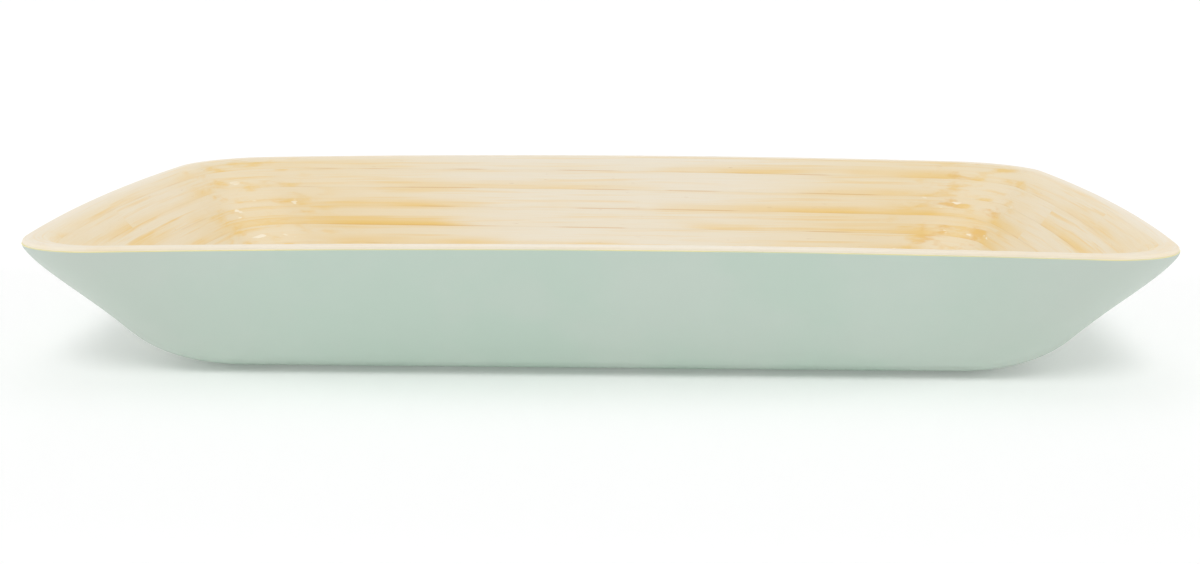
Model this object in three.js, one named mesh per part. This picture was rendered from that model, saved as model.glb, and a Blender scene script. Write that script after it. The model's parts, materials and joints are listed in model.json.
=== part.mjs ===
// A rectangular serving tray of wound bamboo. Long bamboo strips set on edge are wound round a core slat and
// glued. The flat winding is then pressed out into a flared wall, sanded smooth and lacquered on the outside.
// Millimetres, +Z up, +X along the length, front at -Y, origin under the middle of the base.
import * as THREE from "three";

// Driving dimensions of the tray
const TRAY_LENGTH = 360; // over the middle of the bowed ends
const TRAY_DEPTH = 230; // over the long sides
const RIM_HEIGHT = 45.2; // top of the rim at the ends
const RIM_CROWN = 2.6; // how much higher the rim stands at the middle of the long sides
const RIM_LAND = 1.5; // bare bamboo from the edge of the lacquer up to the top of the rim
const RIM_CORNER_RADIUS = 26;
const END_BOW = 7.9; // how far the middle of each end stands out past its corners
const WALL_FLARE = 35; // spread of the wall, from where its slope would meet the table out to the rim
const WALL_THICKNESS = 5.5; // bamboo and lacquer together, square to the surface
const BEND_RADIUS = 34; // outside radius where the floor turns up into the wall

// Driving dimensions of the pieces
const CORE_WIDTH = 14;
const CORE_CORNER_RADIUS = 2;
const STRIP_THICKNESS = 5.4; // one turn of the winding with its glue
const STRIP_TIP = 0.6; // thickness left at the tapered ends of the winding
const GLUE_THICKNESS = 0.45; // between turns, and between the ends of two strips
const LACQUER_THICKNESS = 0.4;
const LACQUER_BOND = 0.3; // between the lacquer and what it lies on or ends against
const EDGE_MARGIN = 0.25; // least width of a strip's top on either side of the rim's inner edge

// How many strips, laid end to end, make each zone of the winding
const FLOOR_STRIP_COUNT = 10;
const BEND_STRIP_COUNT = 9;
const WALL_STRIP_COUNT = 7;
const RIM_STRIP_COUNT = 3;

// How finely round stretches are faceted
const CORNER_STEPS = 4;
const SIDE_STEPS = 4;
const BEND_STEPS = 6;
const SLOPE_STEPS = 3;

// Places that follow from the dimensions. An outline of the tray is told by its half depth, from core to rim.
const CORE_HALF = CORE_WIDTH / 2;
const RIM_HALF = TRAY_DEPTH / 2;
const LENGTH_EXCESS = (TRAY_LENGTH - TRAY_DEPTH) / 2 - END_BOW; // half length less half depth at the corners
const LACQUER_EDGE = RIM_HEIGHT - RIM_LAND;
const WOOD_INSET = LACQUER_THICKNESS + LACQUER_BOND;
const WALL_ANGLE = Math.atan2(LACQUER_EDGE, WALL_FLARE);
const FLOOR_HALF = RIM_HALF - WALL_FLARE - BEND_RADIUS * Math.tan(WALL_ANGLE / 2);
const SLOPE_HALF = FLOOR_HALF + BEND_RADIUS * Math.sin(WALL_ANGLE); // where the outside of the bend ends
const TURNS = Math.round((RIM_HALF - CORE_HALF) / STRIP_THICKNESS);
const PITCH = (RIM_HALF - CORE_HALF) / TURNS;

const { clamp, lerp } = THREE.MathUtils;

// Height of the surface that lies some way inside the outer face of the lacquer
function surfaceHeight(halfDepth, inside) {
  const radius = BEND_RADIUS - inside;
  const run = halfDepth - FLOOR_HALF;
  const bendRun = radius * Math.sin(WALL_ANGLE);
  if (run <= 0) return inside;
  if (run <= bendRun) return BEND_RADIUS - Math.sqrt(radius ** 2 - run ** 2);
  return BEND_RADIUS - radius * Math.cos(WALL_ANGLE) + (run - bendRun) * Math.tan(WALL_ANGLE);
}

const woodBottom = (halfDepth) => surfaceHeight(halfDepth, WOOD_INSET);
const woodTop = (halfDepth) => Math.min(surfaceHeight(halfDepth, WALL_THICKNESS), RIM_HEIGHT);

// Half depth of the rim's inner edge, where the inside of the wall meets the flat top
const slopeStart = FLOOR_HALF + (BEND_RADIUS - WALL_THICKNESS) * Math.sin(WALL_ANGLE);
const RIM_EDGE_HALF =
  slopeStart + (RIM_HEIGHT - surfaceHeight(slopeStart, WALL_THICKNESS)) / Math.tan(WALL_ANGLE);

// Stations round an outline, anticlockwise from the back right corner: each round corner, then points along
// the side after it. Corners open and ends bow more from turn to turn, and all outlines have like stations.
const QUADRANTS = [
  [1, 1],
  [-1, 1],
  [-1, -1],
  [1, -1],
];
function outline(halfDepth) {
  const grown = (halfDepth - CORE_HALF) / (RIM_HALF - CORE_HALF);
  const radius = lerp(CORE_CORNER_RADIUS, RIM_CORNER_RADIUS, grown);
  const halfLength = halfDepth + LENGTH_EXCESS;
  const corners = QUADRANTS.map(([sx, sy], quadrant) =>
    Array.from({ length: CORNER_STEPS + 1 }, (_, step) => {
      const angle = ((quadrant + step / CORNER_STEPS) * Math.PI) / 2;
      const x = sx * (halfLength - radius) + radius * Math.cos(angle);
      const y = sy * (halfDepth - radius) + radius * Math.sin(angle);
      return new THREE.Vector2(x, y);
    }),
  );
  const stations = corners.flatMap((corner, quadrant) => {
    const from = corner[CORNER_STEPS];
    const to = corners[(quadrant + 1) % corners.length][0];
    const side = Array.from({ length: SIDE_STEPS - 1 }, (_, step) =>
      from.clone().lerp(to, (step + 1) / SIDE_STEPS),
    );
    return [...corner, ...side];
  });
  for (const point of stations) {
    const fromCorners = 1 - (point.y / halfDepth) ** 2;
    point.x += END_BOW * grown * fromCorners * (point.x / halfLength);
  }
  return stations;
}

// Share of the way round at which each station lies, measured on an outline half way out
const SHARES = (() => {
  const points = outline((CORE_HALF + RIM_HALF) / 2);
  const steps = points.map((point, i) => point.distanceTo(points[(i + 1) % points.length]));
  const whole = steps.reduce((sum, step) => sum + step);
  let walked = 0;
  return steps.map((step) => {
    const share = walked / whole;
    walked += step;
    return share;
  });
})();

// The rim's crown lifts the wall in proportion to its height and leaves the floor flat
function crown(halfDepth, x) {
  const fromEnds = 1 - ((2 * x) / TRAY_LENGTH) ** 2;
  return (RIM_CROWN * fromEnds * surfaceHeight(halfDepth, 0)) / LACQUER_EDGE;
}

// A point on an outline at a share of the way round, lifted to a height
function place(halfDepth, share, height) {
  const points = outline(halfDepth);
  const after = SHARES.findIndex((s) => s > share);
  const i = (after < 0 ? SHARES.length : after) - 1;
  const next = i + 1 < SHARES.length ? SHARES[i + 1] : 1;
  const along = (share - SHARES[i]) / (next - SHARES[i]);
  const { x, y } = points[i].lerp(points[(i + 1) % points.length], along);
  return new THREE.Vector3(x, y, height + crown(halfDepth, x));
}

// A closed solid through a row of like sections: a ring if it closes on itself, otherwise capped at both ends
function loft(sections, ring = false) {
  const sides = sections[0].length;
  const faces = [];
  const spans = ring ? sections.length : sections.length - 1;
  for (let i = 0; i < spans; i++) {
    const here = i * sides;
    const there = ((i + 1) % sections.length) * sides;
    for (let j = 0; j < sides; j++) {
      const k = (j + 1) % sides;
      faces.push(here + j, there + k, here + k, here + j, there + j, there + k);
    }
  }
  const last = (sections.length - 1) * sides;
  for (let j = 1; !ring && j + 1 < sides; j++) {
    faces.push(0, j, j + 1, last, last + j + 1, last + j);
  }
  const points = sections.flat().flatMap((point) => point.toArray());
  const geometry = new THREE.BufferGeometry();
  geometry.setAttribute("position", new THREE.Float32BufferAttribute(points, 3));
  geometry.setIndex(faces);
  geometry.computeVertexNormals();
  return geometry;
}

const tray = new THREE.Group();

function addPiece(name, geometry, material) {
  const mesh = new THREE.Mesh(geometry, material);
  mesh.name = name;
  tray.add(mesh);
}

// Finishes: three tones of bamboo, as strips from several canes have, and a satin mint lacquer
const bambooTones = [0xecdfc6, 0xead6b0, 0xe6c894].map(
  (color) => new THREE.MeshStandardMaterial({ color, roughness: 0.5, metalness: 0 }),
);
const mintLacquer = new THREE.MeshStandardMaterial({ color: 0xbccbc0, roughness: 0.42, metalness: 0 });

// A flat plate with the outline of one half depth, standing on a height
function plate(halfDepth, height, thickness) {
  const shape = new THREE.Shape(outline(halfDepth));
  const geometry = new THREE.ExtrudeGeometry(shape, { depth: thickness, bevelEnabled: false });
  return geometry.translate(0, 0, height);
}

// The core slat that the winding starts from
addPiece("core_slat", plate(CORE_HALF, WOOD_INSET, WALL_THICKNESS - WOOD_INSET), bambooTones[0]);

// The winding, told by the turns made so far. It lies between the seam one turn back and the seam here.
const seam = (turn) => CORE_HALF + PITCH * clamp(turn, 0, TURNS);
const innerHalf = (turn) => seam(turn - 1) + GLUE_THICKNESS / 2;
const outerHalf = (turn) => seam(turn) - GLUE_THICKNESS / 2;
const TAPER_TURNS = (STRIP_TIP + GLUE_THICKNESS) / PITCH;
const FIRST_TURN = TAPER_TURNS;
const LAST_TURN = TURNS + 1 - TAPER_TURNS;

// The turns at which the winding passes a station from one end to the other, with both ends
const LEAST_STEP = 1e-6;
function stationTurns(from, to) {
  const turns = [from];
  for (let turn = Math.floor(from); turn <= to; turn++) {
    const stations = SHARES.map((share) => turn + share);
    turns.push(...stations.filter((t) => t > from + LEAST_STEP && t < to - LEAST_STEP));
  }
  return [...turns, to];
}

// One section of the winding. At the rim it has a fifth corner, on the inner edge of the flat top.
function stripSection(turn, atRim) {
  const share = turn % 1;
  const inner = innerHalf(turn);
  const outer = outerHalf(turn);
  const corners = [
    [inner, woodBottom(inner)],
    [outer, woodBottom(outer)],
    [outer, woodTop(outer)],
    [inner, woodTop(inner)],
  ];
  if (atRim) {
    const margin = Math.min(EDGE_MARGIN, (outer - inner) / 3);
    const edge = clamp(RIM_EDGE_HALF, inner + margin, outer - margin);
    corners.splice(3, 0, [edge, woodTop(edge)]);
  }
  return corners.map(([halfDepth, height]) => place(halfDepth, share, height));
}

// The winding's length up to each station, and the way from turns to length and back
const turnMarks = stationTurns(FIRST_TURN, LAST_TURN);
const lengthMarks = [0];
for (let i = 1; i < turnMarks.length; i++) {
  const [before, here] = [turnMarks[i - 1], turnMarks[i]].map((turn) =>
    place((innerHalf(turn) + outerHalf(turn)) / 2, turn % 1, 0),
  );
  lengthMarks.push(lengthMarks[i - 1] + before.distanceTo(here));
}
function interpolate(marks, values, mark) {
  const i = clamp(marks.findIndex((m) => m >= mark), 1, marks.length - 1);
  return lerp(values[i - 1], values[i], (mark - marks[i - 1]) / (marks[i] - marks[i - 1]));
}
const lengthAt = (turn) => interpolate(turnMarks, lengthMarks, turn);
const turnAt = (length) => interpolate(lengthMarks, turnMarks, length);

// Zones of the winding from the core to the rim, each with the turn at which its last strip ends
const turnsOutTo = (halfDepth) => (halfDepth - CORE_HALF) / PITCH;
const zones = [
  { name: "floor", strips: FLOOR_STRIP_COUNT, end: turnsOutTo(FLOOR_HALF) },
  { name: "bend", strips: BEND_STRIP_COUNT, end: turnsOutTo(SLOPE_HALF) },
  { name: "wall", strips: WALL_STRIP_COUNT, end: turnsOutTo(RIM_EDGE_HALF) },
  { name: "rim", strips: RIM_STRIP_COUNT, end: LAST_TURN },
];

// The least gap of a strip that goes round more than once to its own next turn
let leastGap = Infinity;
function measureGap(turns) {
  for (const turn of turns.filter((t) => t + 1 <= turns.at(-1))) {
    const outside = place(outerHalf(turn), turn % 1, 0);
    const nextTurn = place(innerHalf(turn + 1), turn % 1, 0);
    leastGap = Math.min(leastGap, outside.distanceTo(nextTurn));
  }
}

// The strips of a zone are of one length, with a glued butt joint between each two
const TONE_ORDER = [1, 0, 2, 0, 1, 1, 0, 2, 1];
let laid = 0;
let zoneStart = FIRST_TURN;
for (const { name, strips, end } of zones) {
  const startLength = lengthAt(zoneStart);
  const stripLength = (lengthAt(end) - startLength) / strips;
  for (let strip = 1; strip <= strips; strip++) {
    const from = turnAt(startLength + (strip - 1) * stripLength + GLUE_THICKNESS / 2);
    const to = turnAt(startLength + strip * stripLength - GLUE_THICKNESS / 2);
    const turns = stationTurns(from, to);
    const sections = turns.map((turn) => stripSection(turn, name === "rim"));
    const tone = bambooTones[TONE_ORDER[laid % TONE_ORDER.length]];
    addPiece(`${name}_strip_${String(strip).padStart(2, "0")}`, loft(sections), tone);
    measureGap(turns);
    laid += 1;
  }
  console.log(`${name}: ${strips} strips of ${stripLength.toFixed(0)} mm`);
  zoneStart = end;
}
console.log(`least gap of a strip to its own next turn: ${leastGap.toFixed(2)} mm`);

// The lacquer: a film under the floor, and one round the outside of the wall up to the rim
addPiece("base_lacquer", plate(FLOOR_HALF - LACQUER_BOND, 0, LACQUER_THICKNESS), mintLacquer);

const filmRows = [
  ...Array.from({ length: BEND_STEPS }, (_, step) => lerp(FLOOR_HALF, SLOPE_HALF, step / BEND_STEPS)),
  ...Array.from({ length: SLOPE_STEPS + 1 }, (_, step) => lerp(SLOPE_HALF, RIM_HALF, step / SLOPE_STEPS)),
];
const filmSections = SHARES.map((share) => {
  const face = (inside) => filmRows.map((row) => place(row, share, surfaceHeight(row, inside)));
  return [...face(0), ...face(LACQUER_THICKNESS).reverse()];
});
addPiece("wall_lacquer", loft(filmSections, true), mintLacquer);

export default tray;
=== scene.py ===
"""The looks of a wound bamboo tray: strips with their grain, bare rim, lacquer and a plain stage."""
import json
import math
from typing import NamedTuple

import bmesh
import bpy
import numpy as np
from bpy.props import FloatProperty, FloatVectorProperty, IntProperty, PointerProperty
from mathutils import Matrix, Vector


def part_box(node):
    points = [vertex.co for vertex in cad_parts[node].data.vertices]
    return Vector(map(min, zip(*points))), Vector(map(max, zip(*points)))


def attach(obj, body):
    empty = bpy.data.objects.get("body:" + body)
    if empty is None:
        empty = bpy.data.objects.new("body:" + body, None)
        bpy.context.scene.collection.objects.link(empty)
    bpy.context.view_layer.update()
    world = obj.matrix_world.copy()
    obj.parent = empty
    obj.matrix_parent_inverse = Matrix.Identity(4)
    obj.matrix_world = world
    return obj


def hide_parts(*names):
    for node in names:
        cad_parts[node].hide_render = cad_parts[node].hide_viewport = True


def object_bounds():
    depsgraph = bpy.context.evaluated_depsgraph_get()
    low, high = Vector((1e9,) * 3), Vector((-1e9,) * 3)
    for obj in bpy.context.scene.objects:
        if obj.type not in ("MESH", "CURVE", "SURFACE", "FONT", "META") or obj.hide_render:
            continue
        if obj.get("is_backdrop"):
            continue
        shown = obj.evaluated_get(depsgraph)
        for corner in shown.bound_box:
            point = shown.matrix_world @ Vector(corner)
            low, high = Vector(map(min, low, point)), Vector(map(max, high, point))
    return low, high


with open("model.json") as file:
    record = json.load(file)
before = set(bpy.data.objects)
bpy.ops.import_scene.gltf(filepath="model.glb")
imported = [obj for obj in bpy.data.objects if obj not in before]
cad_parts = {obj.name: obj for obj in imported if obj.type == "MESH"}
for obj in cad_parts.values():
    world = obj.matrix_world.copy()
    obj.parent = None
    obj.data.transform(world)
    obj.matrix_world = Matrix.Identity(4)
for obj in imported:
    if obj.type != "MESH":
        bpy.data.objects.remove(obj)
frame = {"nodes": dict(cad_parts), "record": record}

bl_info = {
    "name": "Wound bamboo tray",
    "version": (1, 0, 0),
    "blender": (4, 5, 0),
    "location": "View3D > Sidebar > Tray",
    "description": "Dresses a wound bamboo tray: strips, rim, lacquer and stage",
    "category": "Add Mesh",
}

MM = 0.001
BODY = "root"
CAD_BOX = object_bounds()
CORE_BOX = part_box("core_slat")
WALL_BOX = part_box("wall_lacquer")
ZONES = ("floor", "bend", "wall", "rim")

# What the bamboo's material reads from a mesh
SHADED_ATTRIBUTES = (
    "across_share", "corner_distance", "bend_distance", "end_share", "rim_share", "cane_tone",
)
# What a finished strip keeps at its vertices: those values and the mesh's own
KEPT_ATTRIBUTES = (*SHADED_ATTRIBUTES, "position", ".select_vert")


# Sizes, colours and camera that a user can change


def length_prop(name, description, default):
    """A size in metres"""
    return FloatProperty(name=name, description=description, default=default, unit="LENGTH", precision=5)


def angle_prop(name, description, default):
    """An angle in radians"""
    return FloatProperty(name=name, description=description, default=default, subtype="ANGLE")


def pixel_prop(name, description, default):
    """A measure in pixels of the photograph"""
    return FloatProperty(name=name, description=description, default=default, subtype="PIXEL")


def count_prop(name, description, default, least):
    """A whole number with its least value"""
    return IntProperty(name=name, description=description, default=default, min=least)


def colour_prop(name, description, *srgb):
    """A colour as it is seen, in display values from 0 to 255"""
    return FloatVectorProperty(
        name=name, description=description, subtype="COLOR_GAMMA", size=3, min=0, max=1,
        default=[channel / 255 for channel in srgb],
    )


class TraySizes(bpy.types.PropertyGroup):
    """Sizes of the tray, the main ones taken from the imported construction"""

    length: length_prop("Length", "Over the middle of the bowed ends", WALL_BOX[1].x - WALL_BOX[0].x)
    depth: length_prop("Depth", "Over the long sides", WALL_BOX[1].y - WALL_BOX[0].y)
    core_width: length_prop("Core width", "Width of the core slat", CORE_BOX[1].y - CORE_BOX[0].y)
    wall_thickness: length_prop("Wall thickness", "Bamboo and lacquer, square to the wall", CORE_BOX[1].z)
    rim_height: length_prop("Rim height", "Top of the rim at the ends", 45.2 * MM)
    rim_crown: length_prop("Rim crown", "Rise of the rim to the middle of the long sides", 2.6 * MM)
    rim_land: length_prop("Rim land", "Bare bamboo between the lacquer's edge and the rim's top", 1.5 * MM)
    rim_corner: length_prop("Rim corner", "Radius of the rim's corners", 26 * MM)
    core_corner: length_prop("Core corner", "Radius of the core slat's corners", 2 * MM)
    end_bow: length_prop("End bow", "How far the middle of an end stands out past its corners", 7.9 * MM)
    wall_flare: length_prop("Wall flare", "Spread of the wall from its foot line to the rim", 35 * MM)
    bend_radius: length_prop("Bend radius", "Outside radius from the floor to the wall", 34 * MM)
    strip_thickness: length_prop("Strip thickness", "One turn of the winding", 5.4 * MM)
    strip_tip: length_prop("Strip tip", "Thickness with glue at which the solids' winding ends", 1.05 * MM)
    feather: length_prop("Feather", "Thickness at which the sanded ends of the winding run out", 0.08 * MM)
    seam_gap: length_prop("Seam gap", "Between two turns after sanding", 0.02 * MM)
    groove_depth: length_prop("Groove depth", "How far a strip's edges sink at a seam", 0.03 * MM)
    rim_inset: length_prop("Rim inset", "Bare rim behind the face of the lacquer", 0.2 * MM)
    rim_outer_round: length_prop("Rim outer round", "Radius of the rim's outer edge", 1.0 * MM)
    rim_inner_round: length_prop("Rim inner round", "How far the rim's inner edge is sanded off", 4.5 * MM)
    wood_inset: length_prop("Wood inset", "From the lacquer's face to the bamboo", 0.7 * MM)
    film_edge: length_prop("Film edge", "Wood inset at the lacquer's upper edge", 0.15 * MM)
    film_gap: length_prop("Film gap", "Between the lacquer and the bamboo", 0.05 * MM)
    lip_drop: length_prop("Lip drop", "How far the lacquer bulges under the edge of the ends", 2.0 * MM)
    lip_width: length_prop("Lip width", "How far in from the edge the lip's bulge runs out", 24 * MM)
    corner_steps: count_prop("Corner steps", "Facets of a round corner", 12, 3)
    side_steps: count_prop("Side steps", "Facets along each side", 24, 4)
    section_cuts: count_prop("Section cuts", "Cuts in each side of a strip's section", 14, 1)


class TrayFinish(bpy.types.PropertyGroup):
    """Colours of the bamboo and of the lacquer"""

    # The pale cane in the middle of the sides is partly the cane's own tone and partly a painted sheen;
    # straw warms it towards the corners
    pale: colour_prop("Pale cane", "Bamboo in the middle of the sides", 232, 225, 210)
    straw: colour_prop("Straw", "Bamboo that was heated near the corners", 232, 217, 186)
    honey: colour_prop("Honey", "Dense bamboo on the skin side of a strip", 231, 195, 112)
    seam: colour_prop("Seam", "Glue line between two strips", 208, 160, 90)
    fleck: colour_prop("Fleck", "Dark fibres and cracks in the cane", 176, 130, 78)
    ember: colour_prop("Ember", "Where a strip was scorched as it was bent round a corner", 214, 158, 82)
    filler: colour_prop("Filler", "Pale filler in the cracks of the corners", 245, 237, 219)
    rim: colour_prop("Rim", "Freshly sanded edges of the strips on the rim", 240, 231, 215)
    lacquer: colour_prop("Lacquer", "Mint lacquer", 186, 203, 191)
    lacquer_pale: colour_prop("Lacquer, pale", "Blotches where the lacquer is paler", 191, 204, 194)
    # Painted shade: the lacquer is greyed and darkened towards the ends of the tray, standing in for shade
    # there
    lacquer_end_shade: colour_prop("Lacquer, grey", "Where the lacquer dulls towards the ends", 188, 195, 187)
    lacquer_edge: colour_prop("Lacquer edge", "Clear bead along the lacquer's upper edge", 244, 230, 150)


class TrayShot(bpy.types.PropertyGroup):
    """The camera, told from the middle of the lacquer's front edge"""

    distance: length_prop("Distance", "From the front edge to the camera", 0.4907)
    elevation: angle_prop("Elevation", "Above the table", 0.1751)
    azimuth: angle_prop("Azimuth", "To the right of the front", 0.0292)
    roll: angle_prop("Roll", "Turn about the view", 0.0028)
    focal_pixels: pixel_prop("Focal length", "In pixels of the photograph", 1701.2)
    edge_x: pixel_prop("Edge across", "Pixel of the front edge, from the left", 593.85)
    edge_y: pixel_prop("Edge down", "Pixel of the front edge, from the top", 259.5)


# The tray's form

LIP_SCALE = 3.5  # brings the highest point of the lip's curve to about 1
LEAST_TURN = 1e-6  # where a station's two shares of the radius multiply to more, it is inside a corner
LEAST_STEP = 1e-5  # of a turn: two points of a strip's path are at least this far apart
RUN_STEPS = 600  # points at which the run along the inner surface is measured


class TrayForm:
    """The tray's surfaces, told by the half depth of an outline and a place on the way round it"""

    def __init__(self, sizes):
        self.sizes = sizes
        self.core_half = sizes.core_width / 2
        self.rim_half = sizes.depth / 2
        self.half_length = sizes.length / 2
        self.excess = self.half_length - self.rim_half - sizes.end_bow
        self.edge_height = sizes.rim_height - sizes.rim_land
        self.angle = math.atan2(self.edge_height, sizes.wall_flare)
        self.floor_half = self.rim_half - sizes.wall_flare - sizes.bend_radius * math.tan(self.angle / 2)
        self.slope_half, _ = self.slope_start(0)
        start, rise = self.slope_start(sizes.wall_thickness)
        self.rim_edge_half = start + (sizes.rim_height - rise) / math.tan(self.angle)
        self.turns = round((self.rim_half - self.core_half) / sizes.strip_thickness)
        self.pitch = (self.rim_half - self.core_half) / self.turns
        self.quarter = sizes.corner_steps + sizes.side_steps  # stations in a quarter of the way round
        self.stations = self.station_rows()
        self.shares = self.station_shares()

    def slope_start(self, inside):
        """Half depth and height at which the bend of a surface runs into its slope"""
        radius = self.sizes.bend_radius - inside
        half = self.floor_half + radius * math.sin(self.angle)
        return half, self.sizes.bend_radius - radius * math.cos(self.angle)

    def height(self, half, inside):
        """Height of the surface that lies some way inside the lacquer's face"""
        radius = self.sizes.bend_radius - inside
        start, _ = self.slope_start(inside)
        run = np.clip(half - self.floor_half, 0, start - self.floor_half)
        bend = self.sizes.bend_radius - np.sqrt(radius**2 - run**2)
        return bend + np.maximum(half - start, 0) * math.tan(self.angle)

    def backing(self, half):
        """How far the bamboo lies behind the lacquer's face: the film thins over the last turn"""
        thins = (self.rim_half - self.pitch, self.rim_half - self.sizes.rim_inset)
        return np.interp(half, thins, (self.sizes.wood_inset, self.sizes.film_edge))

    def lip(self, half, rows):
        """How far the outside bulges down under its edge: most at the ends, not at all along the sides"""
        inwards = np.clip((self.rim_half - half) / self.sizes.lip_width, 0, 1)
        bulge = np.sqrt(inwards) * (1 - inwards) ** 2 * LIP_SCALE
        return self.sizes.lip_drop * bulge * np.abs(rows[:, 1])

    def crown(self, half, x):
        """Lift of the wall towards the middle of the long sides"""
        from_ends = 1 - (x / self.half_length) ** 2
        return self.sizes.rim_crown * from_ends * self.height(half, 0) / self.edge_height

    def station_rows(self):
        """Each station as shares of the half length less the radius, of the radius, and the same in depth"""
        signs = ((1, 1), (-1, 1), (-1, -1), (1, -1))
        corners = []
        for quadrant, (sx, sy) in enumerate(signs):
            angles = (quadrant + np.linspace(0, 1, self.sizes.corner_steps + 1)) * math.pi / 2
            ones = np.ones_like(angles)
            corners.append(np.c_[sx * ones, np.cos(angles), sy * ones, np.sin(angles)])
        rows = []
        for corner, following in zip(corners, corners[1:] + corners[:1]):
            along = np.linspace(0, 1, self.sizes.side_steps + 1)[1:-1, None]
            rows += [corner, corner[-1] * (1 - along) + following[0] * along]
        return np.vstack(rows)

    def plan(self, half, rows):
        """Points of outlines with these half depths at these stations"""
        grown = (half - self.core_half) / (self.rim_half - self.core_half)
        radius = self.sizes.core_corner + (self.sizes.rim_corner - self.sizes.core_corner) * grown
        end = half + self.excess
        x = rows[:, 0] * (end - radius) + rows[:, 1] * radius
        y = rows[:, 2] * (half - radius) + rows[:, 3] * radius
        bow = self.sizes.end_bow * grown * (1 - (y / half) ** 2)
        return np.c_[x + bow * x / end, y]

    def station_shares(self):
        """Share of the way round at each station, on an outline half way out, and 1 at the end"""
        points = self.plan((self.core_half + self.rim_half) / 2, self.stations)
        steps = np.linalg.norm(np.roll(points, -1, axis=0) - points, axis=1)
        return np.concatenate([[0], np.cumsum(steps)]) / steps.sum()

    def rows_at(self, turns):
        """Station rows at turns of the winding, in between as well"""
        share = turns % 1
        here = np.clip(np.searchsorted(self.shares, share, side="right") - 1, 0, len(self.stations) - 1)
        along = (share - self.shares[here]) / (self.shares[here + 1] - self.shares[here])
        following = self.stations[(here + 1) % len(self.stations)]
        return self.stations[here] * (1 - along[:, None]) + following * along[:, None]

    def plan_distance(self, half, rows, marks):
        """How far it is in plan to the nearest of some stations of the same outline"""
        here = self.plan(half, rows)
        there = [self.plan(half, np.tile(mark, (len(rows), 1))) for mark in marks]
        return np.min([np.linalg.norm(here - mark, axis=1) for mark in there], axis=0)

    def corner_distance(self, half, rows):
        """How far it is in plan to the middle of the nearest corner"""
        return self.plan_distance(half, rows, self.stations[self.sizes.corner_steps // 2::self.quarter])

    def bend_distance(self, half, rows):
        """How far it is in plan to where the nearest corner starts to turn, less than zero inside it"""
        starts = self.stations[::self.quarter]
        stops = self.stations[self.sizes.corner_steps::self.quarter]
        turning = np.abs(rows[:, 1] * rows[:, 3]) > LEAST_TURN
        return self.plan_distance(half, rows, np.vstack([starts, stops])) * np.where(turning, -1, 1)

    def points(self, half, rows, inside):
        """Points in space on the surface that lies some way inside the lacquer's face"""
        plan = self.plan(half, rows)
        return np.c_[plan, self.height(half, inside) + self.crown(half, plan[:, 0])]

    def ring(self, half, height):
        """Points all round at a height, lifted with the crown, which is none out to the edge of the floor"""
        plan = self.plan(half, self.stations)
        return np.c_[plan, height + self.crown(half, plan[:, 0])]

    def turns_out_to(self, half):
        """How many turns of the winding lie inside a half depth"""
        return (half - self.core_half) / self.pitch

    def surface_run(self, half):
        """How far it is along the inner surface from the middle out to a half depth"""
        steps = np.linspace(0, self.rim_half, RUN_STEPS)
        heights = self.height(steps, self.sizes.wall_thickness)
        run = np.concatenate([[0], np.cumsum(np.hypot(np.diff(steps), np.diff(heights)))])
        return np.interp(half, steps, run)


# Nodes


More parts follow.
